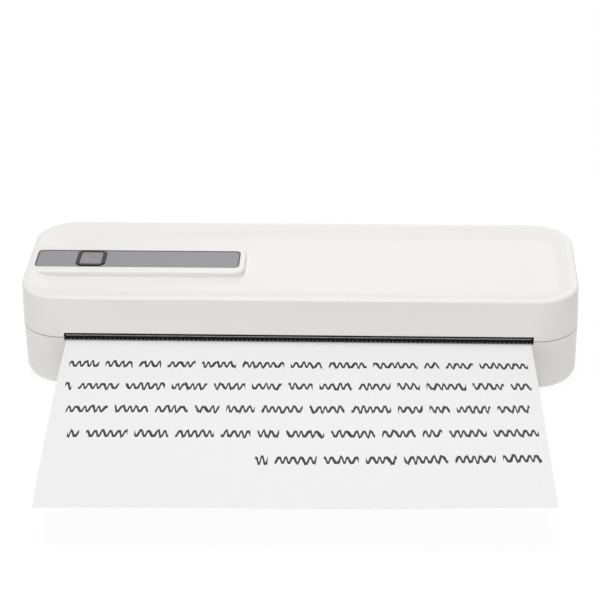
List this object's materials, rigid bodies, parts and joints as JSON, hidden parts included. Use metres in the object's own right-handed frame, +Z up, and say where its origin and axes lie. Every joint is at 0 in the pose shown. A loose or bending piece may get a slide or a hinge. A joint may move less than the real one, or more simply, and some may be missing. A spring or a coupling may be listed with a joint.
{
  "type": "portable thermal printer",
  "caption": "Portable A4 thermal printer: low rounded box with a dished hinged cover, a paper roll feeding a sprung print head and geared platen, and a web leaving a slot under a toothed bar.",
  "frame": {"origin": "middle of the box's outline on the plane of its feet", "axes": "+X along the box, away from the button's end; +Y to the back, where the cover hinges; +Z up"},
  "size_m": [0.254, 0.2021, 0.0476],
  "materials": {
    "housing": "fine matte moulded ABS",
    "foot_rubber": "matte rubber",
    "screw_steel": "zinc-plated steel",
    "magnet": "nickel-plated magnet",
    "inner_plastic": "matte moulded ABS",
    "black_plastic": "matte black plastic",
    "sheet_steel": "bright zinc-plated sheet steel",
    "spring_steel": "rolled spring steel",
    "shaft_steel": "ground steel",
    "motor_steel": "plated steel can",
    "cell_wrap": "shrink-wrapped cell",
    "circuit_board": "solder-masked glass epoxy",
    "socket_steel": "drawn stainless steel",
    "lens_plastic": "milky light guide",
    "paper": "smooth thermal paper",
    "roller_rubber": "ground rubber",
    "gear_plastic": "natural acetal",
    "pinion_brass": "hobbed brass",
    "core_card": "wound cardboard",
    "head_ceramic": "glazed ceramic substrate",
    "sink_aluminium": "extruded aluminium",
    "lever_plastic": "matte moulded acetal",
    "panel_grey": "satin grey strip",
    "black_gloss": "gloss black plastic",
    "button_grey": "satin grey cap"
  },
  "bodies": {
    "base": {"base_shell": "housing", "rubber_feet": "foot_rubber", "base_screws": "screw_steel", "base_magnets": "magnet", "paper_bin": "inner_plastic", "paper_sensor": "black_plastic", "side_plate_left": "sheet_steel", "side_plate_right": "sheet_steel", "cross_beam": "sheet_steel", "head_spring": "spring_steel", "head_pivot_rod": "shaft_steel", "platen_bushings": "black_plastic", "lever_stud": "shaft_steel", "feed_motor": "motor_steel", "idler_stud": "shaft_steel", "battery_cell_left": "cell_wrap", "battery_cell_right": "cell_wrap", "main_board": "circuit_board", "board_chips": "black_plastic", "socket_board": "circuit_board", "charging_socket": "socket_steel", "charge_lens": "lens_plastic", "hinge_pins": "shaft_steel", "paper_web": "paper"},
    "platen": {"platen_roller": "roller_rubber", "platen_shaft": "shaft_steel", "shaft_clip": "spring_steel", "platen_gear": "gear_plastic"},
    "idler": {"idler_gear": "gear_plastic"},
    "motor_rotor": {"motor_shaft": "shaft_steel", "motor_pinion": "pinion_brass"},
    "roll": {"paper_roll": "paper", "roll_core": "core_card"},
    "head": {"print_head": "head_ceramic", "head_heat_sink": "sink_aluminium", "driver_cover": "black_plastic", "lift_pin": "shaft_steel"},
    "lever": {"head_lever": "lever_plastic"},
    "cover": {"cover_shell": "housing", "control_panel": "panel_grey", "button_bezel": "black_gloss", "tear_blade": "black_plastic", "cover_magnets": "magnet", "switch_board": "circuit_board", "tact_switch": "black_plastic"},
    "button": {"power_button": "button_grey", "switch_plunger": "lever_plastic"}
  },
  "joints": [
    {"name": "cover_hinge", "type": "hinge", "parent": "base", "child": "cover", "pos_m": [0, 0.0365, 0.027], "axis": [-1, 0, 0], "range_deg": [0, 90]},
    {"name": "button_press", "type": "slide", "parent": "cover", "child": "button", "axis": [0, 0, -1], "range_m": [0, 0.0006], "stiffness_N_per_m": 1500},
    {"name": "platen_spin", "type": "hinge", "parent": "base", "child": "platen", "pos_m": [0, -0.028, 0.0192], "axis": [1, 0, 0], "continuous": true},
    {"name": "idler_spin", "type": "hinge", "parent": "base", "child": "idler", "pos_m": [0.1122, -0.01866, 0.02092], "axis": [1, 0, 0], "continuous": true},
    {"name": "motor_spin", "type": "hinge", "parent": "base", "child": "motor_rotor", "pos_m": [0.1122, -0.00999, 0.01261], "axis": [1, 0, 0], "continuous": true},
    {"name": "roll_spin", "type": "hinge", "parent": "base", "child": "roll", "pos_m": [0, 0.0183, 0.0202], "axis": [1, 0, 0], "continuous": true},
    {"name": "head_lift", "type": "hinge", "parent": "base", "child": "head", "pos_m": [0, -0.012, 0.031], "axis": [-1, 0, 0], "range_deg": [0, 5], "stiffness_Nm_per_rad": 3, "deforming": ["head_spring"]},
    {"name": "lever_turn", "type": "hinge", "parent": "base", "child": "lever", "pos_m": [-0.1125, -0.024, 0.0278], "axis": [-1, 0, 0], "range_deg": [0, 85]}
  ],
  "couplings": [
    {"joint": "idler_spin", "follows": "platen_spin", "ratio": -1.7143},
    {"joint": "motor_spin", "follows": "platen_spin", "ratio": 5.1429},
    {"joint": "roll_spin", "follows": "platen_spin", "ratio": 0.4},
    {"joint": "lever_turn", "follows": "head_lift", "ratio": 17}
  ]
}
